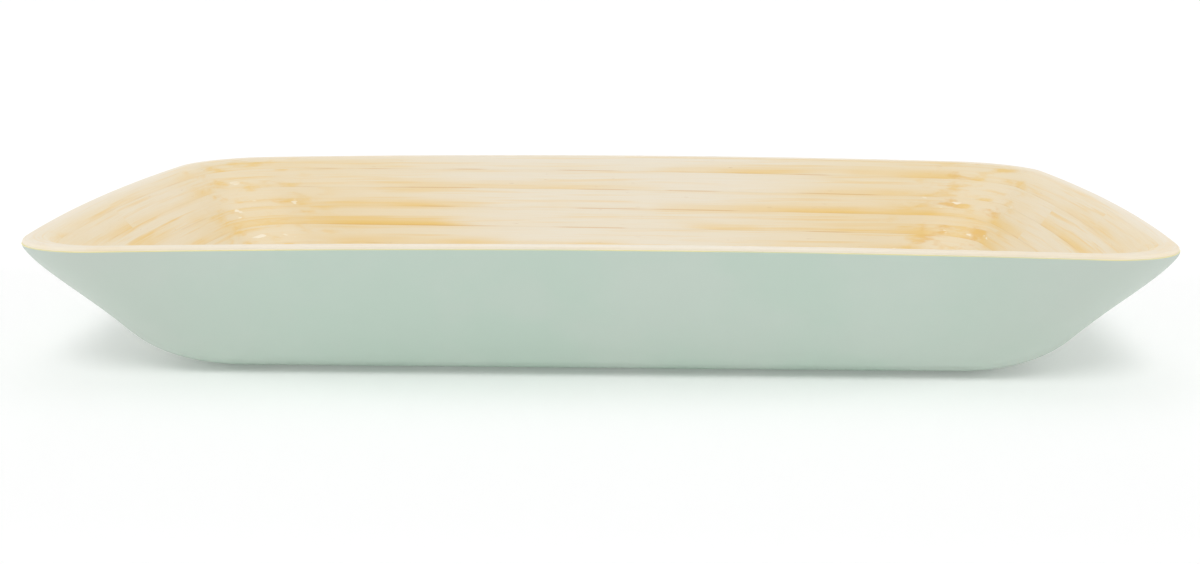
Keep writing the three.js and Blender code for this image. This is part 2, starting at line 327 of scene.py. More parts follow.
class Wiring:
    """Adds nodes to a tree: an input given as a socket is linked, and any other value is set"""

    def __init__(self, tree):
        self.tree = tree

    def fill(self, socket, value):
        """Links or sets one input"""
        if isinstance(value, bpy.types.NodeSocket):
            self.tree.links.new(value, socket)
        else:
            socket.default_value = value

    def add(self, kind, inputs=None, **settings):
        """A new node with its settings and its inputs"""
        node = self.tree.nodes.new(kind)
        for key, value in settings.items():
            setattr(node, key, value)
        self.feed(node, inputs or {})
        return node

    def feed(self, node, inputs):
        """Fills inputs of a node, by name or number"""
        for key, value in inputs.items():
            self.fill(node.inputs[key], value)

    def math(self, operation, *values):
        """One number worked out from others"""
        return self.add("ShaderNodeMath", dict(enumerate(values)), operation=operation).outputs[0]

    def product(self, first, *others):
        """All the values multiplied"""
        for other in others:
            first = self.math("MULTIPLY", first, other)
        return first

    def parts(self, vector):
        """The three parts of a vector"""
        return list(self.add("ShaderNodeSeparateXYZ", {0: vector}).outputs)

    def combine(self, x, y, z=0.0):
        """A vector of three parts"""
        return self.add("ShaderNodeCombineXYZ", {"X": x, "Y": y, "Z": z}).outputs[0]

    def mix(self, factor, a, b):
        """A number between two"""
        return self.add("ShaderNodeMix", {0: factor, 2: a, 3: b}, data_type="FLOAT").outputs[0]

    def blend(self, factor, a, b):
        """A colour between two"""
        return self.add("ShaderNodeMix", {0: factor, 6: a, 7: b}, data_type="RGBA").outputs[2]

    def ramp(self, value, low, high):
        """A smooth step from 0 at one value to 1 at another"""
        inputs = {0: value, 1: low, 2: high}
        return self.add("ShaderNodeMapRange", inputs, interpolation_type="SMOOTHSTEP").outputs[0]

    def noise(self, vector, scale=1.0, detail=2.0, roughness=0.5):
        """Soft noise from 0 to 1"""
        inputs = {"Vector": vector, "Scale": scale, "Detail": detail, "Roughness": roughness}
        return self.add("ShaderNodeTexNoise", inputs).outputs[0]

    def surface(self, name):
        """A value that a mesh carries, for its material"""
        return self.add("ShaderNodeAttribute", attribute_name=name).outputs["Fac"]

    def bump(self, height, strength, distance):
        """A normal that follows a fine relief"""
        inputs = {"Height": height, "Strength": strength, "Distance": distance}
        return self.add("ShaderNodeBump", inputs).outputs[0]

    def carried(self, name, data_type="FLOAT"):
        """A value that geometry carries, for its own nodes"""
        node = self.add("GeometryNodeInputNamedAttribute", {"Name": name}, data_type=data_type)
        return node.outputs["Attribute"]

    def across(self, share, name):
        """What a strip's path carries for its two edges, at a share of the way between them"""
        return self.mix(share, self.carried("inner_" + name), self.carried("outer_" + name))

    def store(self, geometry, name, value, domain="POINT", data_type="FLOAT"):
        """Geometry that also carries a value"""
        inputs = {"Geometry": geometry, "Name": name, "Value": value}
        node = self.add("GeometryNodeStoreNamedAttribute", inputs, domain=domain, data_type=data_type)
        return node.outputs[0]

    def shape(self, kind, inputs, **settings):
        """What a node makes of geometry"""
        return self.add(kind, inputs, **settings).outputs[0]


def new_group(name, kind, inputs, outputs):
    """A node group with its sockets: its wiring, its inputs by name and its output node"""
    tree = bpy.data.node_groups.new(name, kind)
    for socket, socket_kind in inputs.items():
        tree.interface.new_socket(socket, in_out="INPUT", socket_type=socket_kind)
    for socket, socket_kind in outputs.items():
        tree.interface.new_socket(socket, in_out="OUTPUT", socket_type=socket_kind)
    wiring = Wiring(tree)
    given = wiring.add("NodeGroupInput").outputs
    return wiring, given, wiring.add("NodeGroupOutput")


def new_material(name):
    """A material, its wiring and its shader"""
    material = bpy.data.materials.new(name)
    material.use_nodes = True
    return material, Wiring(material.node_tree), material.node_tree.nodes["Principled BSDF"]


def linear(colour):
    """A display colour as the scene-linear RGBA that a shader takes"""
    return [c / 12.92 if c <= 0.04045 else ((c + 0.055) / 1.055) ** 2.4 for c in colour] + [1.0]


# Bamboo


class Grain(NamedTuple):
    """Noise that is drawn out along a strip"""

    along: float  # how often it changes in a metre of strip
    across: float  # and in a metre across it
    seed: float  # how far apart it sets two strips
    shows: tuple  # the noise at which a mark starts to show and shows fully
    detail: float = 2.0
    roughness: float = 0.5


GRAINS = {
    "Fibre": Grain(along=45, across=2300, seed=7.3, shows=(0.3, 0.7), detail=4, roughness=0.62),
    "Streak": Grain(along=16, across=620, seed=23.1, shows=(0.5, 0.72), detail=3, roughness=0.55),
    "Fleck": Grain(along=170, across=2300, seed=11.7, shows=(0.76, 0.82), detail=1),
    "Patch": Grain(along=13, across=60, seed=31.9, shows=(0.38, 0.62)),
    "Heat": Grain(along=9, across=0, seed=53.3, shows=(0.46, 0.6), detail=0),
    "Dash": Grain(along=34, across=25, seed=61.7, shows=(0.47, 0.62), detail=1),
    "Chip": Grain(along=95, across=270, seed=17.9, shows=(0.66, 0.7), roughness=0.6),
    "Scorch": Grain(along=75, across=230, seed=29.3, shows=(0.48, 0.74), detail=3, roughness=0.55),
}

# Where the bamboo's finish changes: each pair tells where a change starts and where it is full
SHEEN_TO_WARM = (120 * MM, 30 * MM)  # from the middle of a corner: cane turns warmer towards the corners; the pale cane left mid-side is partly a painted sheen
CREASED = (45 * MM, 12 * MM)  # from the middle of a corner: cane that was bent
FILLED = (27 * MM, 17 * MM)  # from the middle of a corner: cracks that were filled
FILLED_RUN = (122 * MM, 110 * MM)  # along the inside from the middle of the floor: below the rim
RIM_RUN = (106 * MM, 122 * MM)  # along the inside from the middle of the floor: close to the rim
TAIL_INSIDE = (-9 * MM, -1 * MM)  # from where a corner starts to turn: a honey coloured tail
TAIL_OUTSIDE = (32 * MM, -1 * MM)
SCORCH_DEPTH = 7 * MM  # from there into the corner: the most scorched place
SCORCH_REACH = (9 * MM, 1 * MM)  # from the most scorched place
INNER_SKIN = (0.62, 0.0)  # shares across a strip, from its inner edge
OUTER_SKIN = (0.78, 1.0)
GLUE_LINE = (0.07, 0.0)

END_WARMTH = 0.8  # how warm the cane is on the ends of the tray
OUTER_SKIN_SHARE = 0.45  # how much skin there is on a strip's outer side
CANE_ROUGHNESS = (0.44, 0.58)  # between the fibres and on them
CANE_BUMP = 0.12
CANE_RELIEF = 0.05 * MM
COAT_WEIGHT = 0.1
COAT_ROUGHNESS = 0.3
ON_MASK = (0.0, 1.0)  # the share of a layer that shows on a mask alone


class Layer(NamedTuple):
    """A colour that is laid over the cane"""

    colour: str
    strength: float
    masks: dict  # for each mask, the share of the strength away from it and on it


LAYERS = {
    # Straw laid towards the corners; where it is missing, in the middle of the sides, the pale cane stands
    # partly for a painted sheen
    "heated": Layer("straw", 0.8, {"warm": ON_MASK}),
    "body": Layer("honey", 1.0, {"warm": (0.15, 0.85)}),
    "skin": Layer("honey", 1.0, {
        "skin": ON_MASK, "warm": (0.66, 0.88), "by_rim": (1.0, 0.4),
        "Patch": (0.05, 1.15), "creased": (1.0, 0.45),
    }),
    "seams": Layer("seam", 1.0, {
        "glue_line": ON_MASK, "end": (0.55, 0.2), "Dash": (0.1, 1.0), "creased": (1.0, 0.15),
    }),
    "streaks": Layer("honey", 1.0, {"Streak": ON_MASK, "warm": (0.36, 0.46)}),
    "fibres": Layer("honey", 0.09, {"Fibre": ON_MASK}),
    "tails": Layer("honey", 0.7, {"tail": ON_MASK, "Heat": ON_MASK, "inner_side": ON_MASK}),
    "embers": Layer("ember", 1.0, {
        "scorched": ON_MASK, "by_rim": (1.0, 0.2), "Scorch": ON_MASK, "Heat": (0.15, 0.75),
    }),
    "creases": Layer("honey", 0.75, {"creased": ON_MASK, "Scorch": ON_MASK}),
    "end streaks": Layer("honey", 1.0, {
        "Streak": ON_MASK, "Patch": ON_MASK, "end": ON_MASK, "by_rim": (0.7, 0.2),
    }),
    "filler": Layer("filler", 0.8, {"Chip": ON_MASK, "filled": ON_MASK}),
    "flecks": Layer("fleck", 0.3, {"Fleck": ON_MASK}),
    "rim": Layer("rim", 0.95, {"rim": ON_MASK}),
}

# How strong some layers are in each slot's bamboo
CANE_SHADES = {
    "bamboo_pale": {"skin": 0.5, "body": 0.0},
    "bamboo_straw": {"skin": 0.85, "body": 0.05},
    "bamboo_honey": {"skin": 1.0, "body": 0.14},
}


def cane_grain_group():
    """Fibres, streaks and broad patches of split cane along the strip, and cracks for its corners"""
    places = ("Along", "Across", "Seed")
    wiring, given, result = new_group(
        "Cane grain", "ShaderNodeTree",
        dict.fromkeys(places, "NodeSocketFloat"), dict.fromkeys(GRAINS, "NodeSocketFloat"),
    )
    for name, grain in GRAINS.items():
        scales = zip(places, (grain.along, grain.across, grain.seed))
        drawn_out = wiring.combine(*(wiring.product(given[place], scale) for place, scale in scales))
        noise = wiring.noise(drawn_out, detail=grain.detail, roughness=grain.roughness)
        wiring.fill(result.inputs[name], wiring.ramp(noise, *grain.shows))
    return wiring.tree


def cane_masks(wiring, grain):
    """Where the layers of colour show: places on a strip and on the tray, and the marks of the grain"""
    place = wiring.add("ShaderNodeUVMap", uv_map="UVMap").outputs[0]
    along, run, _ = wiring.parts(place)
    share, corner, bend, end, rim, tone = [wiring.surface(name) for name in SHADED_ATTRIBUTES]
    strip_place = {"Along": along, "Across": run, "Seed": tone}
    grown = wiring.add("ShaderNodeGroup", strip_place, node_tree=grain).outputs
    inner_side = wiring.ramp(share, *INNER_SKIN)
    outer_side = wiring.product(wiring.ramp(share, *OUTER_SKIN), OUTER_SKIN_SHARE)
    from_scorch = wiring.math("ABSOLUTE", wiring.math("ADD", bend, SCORCH_DEPTH))
    return {
        "warm": wiring.math("MAXIMUM", wiring.ramp(corner, *SHEEN_TO_WARM), wiring.product(end, END_WARMTH)),
        "creased": wiring.ramp(corner, *CREASED),
        "filled": wiring.product(wiring.ramp(corner, *FILLED), wiring.ramp(run, *FILLED_RUN)),
        "by_rim": wiring.product(wiring.ramp(run, *RIM_RUN), end),
        "tail": wiring.product(wiring.ramp(bend, *TAIL_INSIDE), wiring.ramp(bend, *TAIL_OUTSIDE)),
        "scorched": wiring.ramp(from_scorch, *SCORCH_REACH),
        "inner_side": inner_side,
        "skin": wiring.math("MAXIMUM", inner_side, outer_side),
        "glue_line": wiring.ramp(share, *GLUE_LINE),
        "end": end,
        "rim": rim,
        **{mark: grown[mark] for mark in GRAINS},
    }


def cane_colour(wiring, finish, shade, masks):
    """Pale cane with the layers of colour over it"""
    colour = linear(finish.pale)
    for name, layer in LAYERS.items():
        shares = [wiring.mix(masks[mask], *pair) for mask, pair in layer.masks.items()]
        strength = wiring.product(*shares, layer.strength * shade.get(name, 1.0))
        colour = wiring.blend(strength, colour, linear(getattr(finish, layer.colour)))
    return colour


def bamboo(slot):
    """Sanded bamboo of a slot with a clear satin coat, made once"""
    name = "sanded_" + slot
    if name in bpy.data.materials:
        return bpy.data.materials[name]
    material, wiring, shader = new_material(name)
    grain = bpy.data.node_groups.get("Cane grain") or cane_grain_group()
    masks = cane_masks(wiring, grain)
    wiring.feed(shader, {
        "Base Color": cane_colour(wiring, bpy.context.scene.tray_finish, CANE_SHADES[slot], masks),
        "Roughness": wiring.mix(masks["Fibre"], *CANE_ROUGHNESS),
        "Normal": wiring.bump(masks["Fibre"], CANE_BUMP, CANE_RELIEF),
        "Coat Weight": COAT_WEIGHT,
        "Coat Roughness": COAT_ROUGHNESS,
    })
    return material


# Lacquer

MOTTLE_SCALE = 26.0  # blotches in a metre
MOTTLE_DETAIL = 3.0
MOTTLE_SHOWS = (0.38, 0.66)  # the noise at which a blotch starts to show and shows fully
FINE_SCALE = 240.0  # ripples in a metre
# Painted shade: where the lacquer starts and finishes greying towards the ends, and how strongly
END_SHADE_REACH = (85 * MM, 165 * MM)  # from the middle of the tray towards its ends
END_SHADE_TINT = 0.6
BEAD_DROP = (0.1 * MM, 0.0)  # below the lacquer's upper edge
BEAD_TINT = (0.5, 0.95)  # between the blotches and on them
LACQUER_ROUGHNESS = (0.4, 0.5)  # between the blotches and on them
STRIP_SHARE = 0.25  # how much of the ripples' relief the strips below have
LACQUER_BUMP = 0.06
LACQUER_RELIEF = 0.1 * MM


def lacquer_material(finish):
    """Satin mint lacquer, slightly mottled, greyed towards the ends as painted shade, over strips that show
    faintly through, with a clear edge
    """
    material, wiring, shader = new_material("satin_mint_lacquer")
    place = wiring.add("ShaderNodeTexCoord").outputs["Object"]
    along, _, _ = wiring.parts(place)
    mottle = wiring.ramp(wiring.noise(place, MOTTLE_SCALE, MOTTLE_DETAIL), *MOTTLE_SHOWS)
    base = wiring.blend(mottle, linear(finish.lacquer), linear(finish.lacquer_pale))
    end_shade = wiring.product(wiring.ramp(wiring.math("ABSOLUTE", along), *END_SHADE_REACH), END_SHADE_TINT)
    base = wiring.blend(end_shade, base, linear(finish.lacquer_end_shade))
    bead = wiring.ramp(wiring.surface("edge_distance"), *BEAD_DROP)
    bead = wiring.product(bead, wiring.mix(mottle, *BEAD_TINT))
    base = wiring.blend(bead, base, linear(finish.lacquer_edge))
    bands = wiring.math("SINE", wiring.product(wiring.surface("strip_turn"), math.tau))
    height = wiring.math("MULTIPLY_ADD", bands, STRIP_SHARE, wiring.noise(place, FINE_SCALE))
    wiring.feed(shader, {
        "Base Color": base,
        "Roughness": wiring.mix(mottle, *LACQUER_ROUGHNESS),
        "Normal": wiring.bump(height, LACQUER_BUMP, LACQUER_RELIEF),
    })
    return material


# Wound strips

STRIP_INPUTS = {
    "Path": "NodeSocketGeometry",
    "Section Cuts": "NodeSocketInt",
    "Groove Depth": "NodeSocketFloat",
    "Rim Half Depth": "NodeSocketFloat",
    "Outer Round": "NodeSocketFloat",
    "Inner Round": "NodeSocketFloat",
    "Sharp Angle": "NodeSocketFloat",
    "Finish": "NodeSocketMaterial",
}
STRIP_CREASE = math.radians(40)  # from this angle on, an edge of a strip stays sharp
GROOVE_SHARPNESS = 110.0  # power that keeps the groove close to a strip's edges
SANDED_GAIN = 0.9  # how fast a strip shows as sanded, for each inner round that is sanded off
SANDED_START = 0.1  # how much it does so where it just meets the cap
SANDED_SHARES = (0.65, 1.0)  # on the rim's top and down its outside


def strip_section(wiring, position, cuts):
    """A square whose points are drawn towards its edges, as shares across and down"""
    square = wiring.shape("GeometryNodeCurvePrimitiveQuadrilateral", {"Width": 1.0, "Height": 1.0})
    square = wiring.shape("GeometryNodeSubdivideCurve", {"Curve": square, "Cuts": cuts})
    x, y, _ = wiring.parts(position)
    eased = wiring.math("COSINE", wiring.product(wiring.math("ADD", x, 0.5), math.pi))
    section = wiring.store(square, "across_share", wiring.math("MULTIPLY_ADD", eased, -0.5, 0.5))
    return wiring.store(section, "down_share", wiring.math("SUBTRACT", 0.5, y))


def rim_cap(wiring, given, share):
    """Height to which the rim is sanded, rounded down towards its outer edge"""
    start = wiring.math("SUBTRACT", given["Rim Half Depth"], given["Outer Round"])
    past = wiring.math("SUBTRACT", wiring.across(share, "half"), start)
    past = wiring.math("MINIMUM", wiring.math("MAXIMUM", past, 0.0), given["Outer Round"])
    past = wiring.math("DIVIDE", past, given["Outer Round"])
    level = wiring.math("SQRT", wiring.math("SUBTRACT", 1.0, wiring.product(past, past)))
    rounded = wiring.product(wiring.math("SUBTRACT", 1.0, level), given["Outer Round"])
    return wiring.math("SUBTRACT", wiring.across(share, "cap"), rounded)


def strip_tree():
    """Sweeps a strip's section along its path, whose points carry what the section needs"""
    wiring, given, result = new_group(
        "Wound strip", "GeometryNodeTree", STRIP_INPUTS, {"Strip": "NodeSocketGeometry"},
    )
    position = wiring.add("GeometryNodeInputPosition").outputs[0]
    path = wiring.store(given["Path"], "path", position, data_type="FLOAT_VECTOR")
    path = wiring.shape("GeometryNodeMeshToCurve", {"Mesh": path})
    section = strip_section(wiring, position, given["Section Cuts"])
    sweep = {"Curve": path, "Profile Curve": section, "Fill Caps": True}
    strip = wiring.shape("GeometryNodeCurveToMesh", sweep)

    # Each point lies across the path and is bulged with the bend
    share = wiring.carried("across_share")
    down = wiring.carried("down_share")
    from_path = {0: wiring.carried("across", "FLOAT_VECTOR"), "Scale": wiring.math("SUBTRACT", share, 0.5)}
    from_path = wiring.add("ShaderNodeVectorMath", from_path, operation="SCALE").outputs[0]
    top = {0: wiring.carried("path", "FLOAT_VECTOR"), 1: from_path}
    x, y, z = wiring.parts(wiring.add("ShaderNodeVectorMath", top, operation="ADD").outputs[0])
    arch = wiring.product(share, wiring.math("SUBTRACT", 1.0, share), 4.0)
    smooth = wiring.math("MULTIPLY_ADD", wiring.carried("bulge"), arch, z)

    # The top sinks at the seams and is sanded down to the cap, and the underside lies a drop lower
    from_middle = wiring.math("ABSOLUTE", wiring.math("MULTIPLY_ADD", share, 2.0, -1.0))
    groove = wiring.product(wiring.math("POWER", from_middle, GROOVE_SHARPNESS), given["Groove Depth"])
    sunk = wiring.math("SUBTRACT", smooth, groove)
    cap = rim_cap(wiring, given, share)
    upper = wiring.math("SMOOTH_MIN", sunk, cap, given["Inner Round"])
    lower = wiring.math("SUBTRACT", smooth, wiring.across(share, "drop"))
    placed = wiring.combine(x, y, wiring.mix(down, upper, lower))
    sanded = wiring.math("DIVIDE", wiring.math("SUBTRACT", sunk, cap), given["Inner Round"])
    sanded = wiring.math("MULTIPLY_ADD", sanded, SANDED_GAIN, SANDED_START)
    sanded = wiring.math("MAXIMUM", wiring.math("MINIMUM", sanded, 1.0), 0.0)
    strip = wiring.store(strip, "rim_share", wiring.product(sanded, wiring.mix(down, *SANDED_SHARES)))
    strip = wiring.shape("GeometryNodeSetPosition", {"Geometry": strip, "Position": placed})

    # The grain runs along the strip, and its edges stay sharp
    grain_place = wiring.combine(wiring.carried("along"), wiring.across(share, "run"))
    strip = wiring.store(strip, "UVMap", grain_place, "CORNER", "FLOAT2")
    angle = wiring.add("GeometryNodeInputMeshEdgeAngle").outputs["Unsigned Angle"]
    smooth_edges = {"Geometry": strip, "Shade Smooth": wiring.math("LESS_THAN", angle, given["Sharp Angle"])}
    strip = wiring.shape("GeometryNodeSetShadeSmooth", smooth_edges, domain="EDGE")
    strip = wiring.shape("GeometryNodeSetShadeSmooth", {"Geometry": strip}, domain="FACE")
    strip = wiring.shape("GeometryNodeRealizeInstances", {"Geometry": strip})
    strip = wiring.shape("GeometryNodeSetMaterial", {"Geometry": strip, "Material": given["Finish"]})
    wiring.fill(result.inputs["Strip"], strip)
    return wiring.tree


class Winding:
    """The winding, told by the turns made so far"""

    def __init__(self, form):
        self.form = form
        taper = form.sizes.strip_tip / form.pitch
        self.first = taper
        self.last = form.turns + 1 - taper
        runs_out = form.sizes.feather / form.pitch
        self.ends = (runs_out, form.turns + 1 - runs_out)
        self.marks = self.station_turns(*self.ends)
        middle = (self.inner(self.marks) + self.outer(self.marks)) / 2
        path = form.plan(middle, form.rows_at(self.marks))
        steps = np.linalg.norm(np.diff(path, axis=0), axis=1)
        self.lengths = np.concatenate([[0], np.cumsum(steps)])

    def seam(self, turn):
        """Half depth of the glue line outside a turn"""
        return self.form.core_half + self.form.pitch * np.clip(turn, 0, self.form.turns)

    def inner(self, turn):
        """Half depth of a strip's inner edge"""
        return self.seam(turn - 1) + self.form.sizes.seam_gap / 2

    def outer(self, turn):
        """Half depth of a strip's outer edge, a little behind the lacquer on the last turn"""
        sizes = self.form.sizes
        return np.minimum(self.seam(turn) - sizes.seam_gap / 2, self.form.rim_half - sizes.rim_inset)

    def station_turns(self, start, end):
        """Every turn at which the winding passes a station, with both ends"""
        whole = np.arange(math.floor(start), math.ceil(end))
        turns = (whole[:, None] + self.form.shares[None, :-1]).ravel()
        between = turns[(turns > start + LEAST_STEP) & (turns < end - LEAST_STEP)]
        return np.concatenate([[start], between, [end]])

    def strips(self):
        """Each strip's node name with the turns at its two ends"""
        form = self.form
        halves = (form.floor_half, form.slope_half, form.rim_edge_half)
        ends = [*(form.turns_out_to(half) for half in halves), self.last]
        starts = [self.first, *ends[:-1]]
        for zone, start, end in zip(ZONES, starts, ends):
            names = sorted(n for n in frame["nodes"] if n.startswith(zone + "_strip"))
            lengths = np.linspace(*np.interp((start, end), self.marks, self.lengths), len(names) + 1)
            cuts = np.interp(lengths, self.lengths, self.marks)
            # The first and the last strip run on to the feathered ends
            cuts[cuts <= self.first] = self.ends[0]
            cuts[cuts >= self.last] = self.ends[1]
            yield from zip(names, cuts[:-1], cuts[1:])

    def path(self, name, start, end, tone):
        """A strip's path along the middle of its top, with what its section needs at each point"""
        form, sizes = self.form, self.form.sizes
        turns = self.station_turns(start, end)
        rows = form.rows_at(turns)
        inner, outer = self.inner(turns), self.outer(turns)
        middle = (inner + outer) / 2
        inner_top, middle_top, outer_top = [
            form.points(half, rows, sizes.wall_thickness) for half in (inner, middle, outer)
        ]
        inner_low, outer_low = [
            form.points(half, rows, form.backing(half))[:, 2] - form.lip(half, rows)
            for half in (inner, outer)
        ]
        chord = (inner_top + outer_top) / 2
        mesh = bpy.data.meshes.new(name + "_path")
        mesh.from_pydata(chord.tolist(), [(i, i + 1) for i in range(len(turns) - 1)], [])
        set_attribute(mesh, "across", outer_top - inner_top, "FLOAT_VECTOR")
        carried = {
            "bulge": middle_top[:, 2] - chord[:, 2],
            "inner_drop": inner_top[:, 2] - inner_low,
            "outer_drop": outer_top[:, 2] - outer_low,
            "inner_cap": sizes.rim_height + form.crown(inner, inner_top[:, 0]),
            "outer_cap": sizes.rim_height + form.crown(outer, outer_top[:, 0]),
            "inner_half": inner,
            "outer_half": outer,
            "inner_run": form.surface_run(inner),
            "outer_run": form.surface_run(outer),
            "along": np.interp(turns, self.marks, self.lengths),
            "corner_distance": form.corner_distance(middle, rows),
            "bend_distance": form.bend_distance(middle, rows),
            "end_share": np.abs(rows[:, 1]),
            "cane_tone": np.full(len(turns), tone),
        }
        for attribute, values in carried.items():
            set_attribute(mesh, attribute, values)
        path = bpy.data.objects.new(name + "_path", mesh)
        bpy.context.scene.collection.objects.link(path)
        return path


TONE_STEP = 12.9898  # a plain hash: the sine of steps like these, scaled up, scatters its fractions
TONE_START = 4.1
TONE_SCALE = 43758.5453


def cane_tone(number):
    """A steady fraction from 0 to 1 for a strip's number, which tells its cane from the others'"""
    return math.modf(abs(math.sin(number * TONE_STEP + TONE_START) * TONE_SCALE))[0]


# Meshes and pieces

FILM_CREASE = math.radians(32)  # from this angle on, an edge of the core or a film stays sharp


def set_inputs(modifier, values):
    """Sets Geometry Nodes inputs by their sockets' identifiers"""
    sockets = modifier.node_group.interface.items_tree
    identifiers = {socket.name: socket.identifier for socket in sockets if socket.in_out == "INPUT"}
    for name, value in values.items():
        modifier[identifiers[name]] = value


def set_attribute(mesh, name, values, kind="FLOAT"):
    """Stores one value for each vertex"""
    data = mesh.attributes.new(name, kind, "POINT").data
    field = "vector" if kind == "FLOAT_VECTOR" else "value"
    data.foreach_set(field, np.ravel(values).astype(np.float32))


def ring_mesh(name, rings, closed=False):
    """A mesh through rings of points, capped at both ends or joined from the last ring to the first"""
    count = len(rings[0])
    faces = []
    spans = len(rings) if closed else len(rings) - 1
    for i in range(spans):
        here, there = i * count, (i + 1) % len(rings) * count
        for j in range(count):
            k = (j + 1) % count
            faces.append((here + j, here + k, there + k, there + j))
    if not closed:
        last = (len(rings) - 1) * count
        faces += [tuple(range(count)), tuple(range(last, last + count))]
    mesh = bpy.data.meshes.new(name)
    mesh.from_pydata(np.vstack(rings).tolist(), [], faces)
    mesh.shade_smooth()
    mesh.set_sharp_from_angle(angle=FILM_CREASE)
    return mesh


def plain_mesh(obj, name):
    """The evaluated mesh of an object as a new plain object with outward faces"""
    evaluated = obj.evaluated_get(bpy.context.evaluated_depsgraph_get())
    mesh = bpy.data.meshes.new_from_object(evaluated)
    old = obj.data
    bpy.data.objects.remove(obj)
    bpy.data.meshes.remove(old)
    working = [a.name for a in mesh.attributes if a.domain == "POINT" and a.name not in KEPT_ATTRIBUTES]
    for attribute in working:
        mesh.attributes.remove(mesh.attributes[attribute])
    return new_piece(name, mesh)


def new_piece(name, mesh):
    """A linked object at the origin with all faces pointing outwards"""
    work = bmesh.new()
    work.from_mesh(mesh)
    bmesh.ops.recalc_face_normals(work, faces=work.faces)
    work.to_mesh(mesh)
    work.free()
    mesh.name = name
    piece = bpy.data.objects.new(name, mesh)
    bpy.context.scene.collection.objects.link(piece)
    return piece


def dress(piece, node):
    """Puts a piece in the place of a CAD node"""
    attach(piece, BODY)
    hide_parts(node)
    slot_of(node)


def slot_of(node):
    """The record's material slot of a CAD node"""
    return next(row["material_slot"] for row in frame["record"]["subparts"] if row["node"] == node)


# Operators, one for each piece or group of like pieces


class TRAY_OT_strips(bpy.types.Operator):
    """Make the wound bamboo strips of floor, bend, wall and rim"""

    bl_idname = "tray.strips"
    bl_label = "Bamboo strips"

    def execute(self, context):
        sizes = context.scene.tray_sizes
        winding = Winding(TrayForm(sizes))
        tree = strip_tree()
        for number, (node, start, end) in enumerate(winding.strips()):
            path = winding.path(node, start, end, cane_tone(number))
            modifier = path.modifiers.new("Wound strip", "NODES")
            modifier.node_group = tree
            set_inputs(modifier, {
                "Section Cuts": sizes.section_cuts,
                "Groove Depth": sizes.groove_depth,
                "Rim Half Depth": sizes.depth / 2 - sizes.rim_inset,
                "Outer Round": sizes.rim_outer_round,
                "Inner Round": sizes.rim_inner_round,
                "Sharp Angle": STRIP_CREASE,
                "Finish": bamboo(slot_of(node)),
            })
            dress(plain_mesh(path, "bamboo_" + node), node)
        return {"FINISHED"}


CORE_SOFTENING = 4  # width of the core's softened edge in groove depths
CORE_TONE = 0.37
CORE_CORNER_DISTANCE = 63 * MM  # the core is as warm in colour as a strip this far from a corner


class TRAY_OT_core(bpy.types.Operator):
    """Make the core slat in the middle of the floor"""

    bl_idname = "tray.core"
    bl_label = "Core slat"

    def execute(self, context):
        sizes = context.scene.tray_sizes
        form = TrayForm(sizes)
        half = form.core_half
        levels = (
            (half, sizes.wood_inset),
            (half, sizes.wall_thickness - sizes.groove_depth),
            (half - CORE_SOFTENING * sizes.groove_depth, sizes.wall_thickness),
        )
        rings = [form.ring(*level) for level in levels]
        points = np.vstack(rings)
        mesh = ring_mesh("core_slat", rings)
        layer = mesh.uv_layers.new(name="UVMap")
        for loop in mesh.loops:
            layer.data[loop.index].uv = points[loop.vertex_index][:2]
        set_attribute(mesh, "across_share", points[:, 1] / (2 * half) + 0.5)
        set_attribute(mesh, "corner_distance", np.full(len(points), CORE_CORNER_DISTANCE))
        set_attribute(mesh, "bend_distance", np.full(len(points), form.half_length))
        set_attribute(mesh, "cane_tone", np.full(len(points), CORE_TONE))
        mesh.materials.append(bamboo(slot_of("core_slat")))
        dress(new_piece("bamboo_core_slat", mesh), "core_slat")
        return {"FINISHED"}


BEND_RINGS = 15
SLOPE_RINGS = 16
BASE_RINGS = 8
# The rounded upper edge of the film, out and up from its face in shares of the rim's inset
FILM_BEAD = ((0, 0), (-0.2, 0.7), (-0.7, 1), (-1.2, 1))


class TRAY_OT_lacquer(bpy.types.Operator):
    """Make the lacquer films under the floor and round the wall"""

    bl_idname = "tray.lacquer"
    bl_label = "Mint lacquer"

    def execute(self, context):
        form = TrayForm(context.scene.tray_sizes)
        finish = lacquer_material(context.scene.tray_finish)
        wall = wall_film(form)
        wall.materials.append(finish)
        dress(new_piece("lacquer_wall", wall), "wall_lacquer")
        base = base_film(form)
        base.materials.append(finish)
        dress(new_piece("lacquer_base", base), "base_lacquer")
        return {"FINISHED"}


def wall_film(form):
    """The film round the wall: up its face, over the bead of its edge and down along the bamboo"""
    sizes, rows = form.sizes, form.stations
    bend = np.linspace(form.floor_half, form.slope_half, BEND_RINGS)
    slope_width = form.rim_half - sizes.rim_inset - form.slope_half
    slope = form.slope_half + slope_width * (1 - np.linspace(1, 0, SLOPE_RINGS + 1)[1:] ** 2)
    halves = np.concatenate([bend, slope])
    face = [(half, form.height(half, 0) - form.lip(half, rows)) for half in halves]
    bead = [
        (form.rim_half + out * sizes.rim_inset, form.edge_height + up * sizes.rim_inset)
        for out, up in FILM_BEAD
    ]
    back = [
        (half, form.height(half, form.backing(half) - sizes.film_gap) - form.lip(half, rows))
        for half in halves[::-1]
    ]
    section = face + bead + back
    mesh = ring_mesh("wall_film", [form.ring(*level) for level in section], closed=True)
    below_edge = [form.edge_height - height * np.ones(len(rows)) for _, height in section]
    set_film_attributes(mesh, form, [half for half, _ in section], np.concatenate(below_edge))
    return mesh


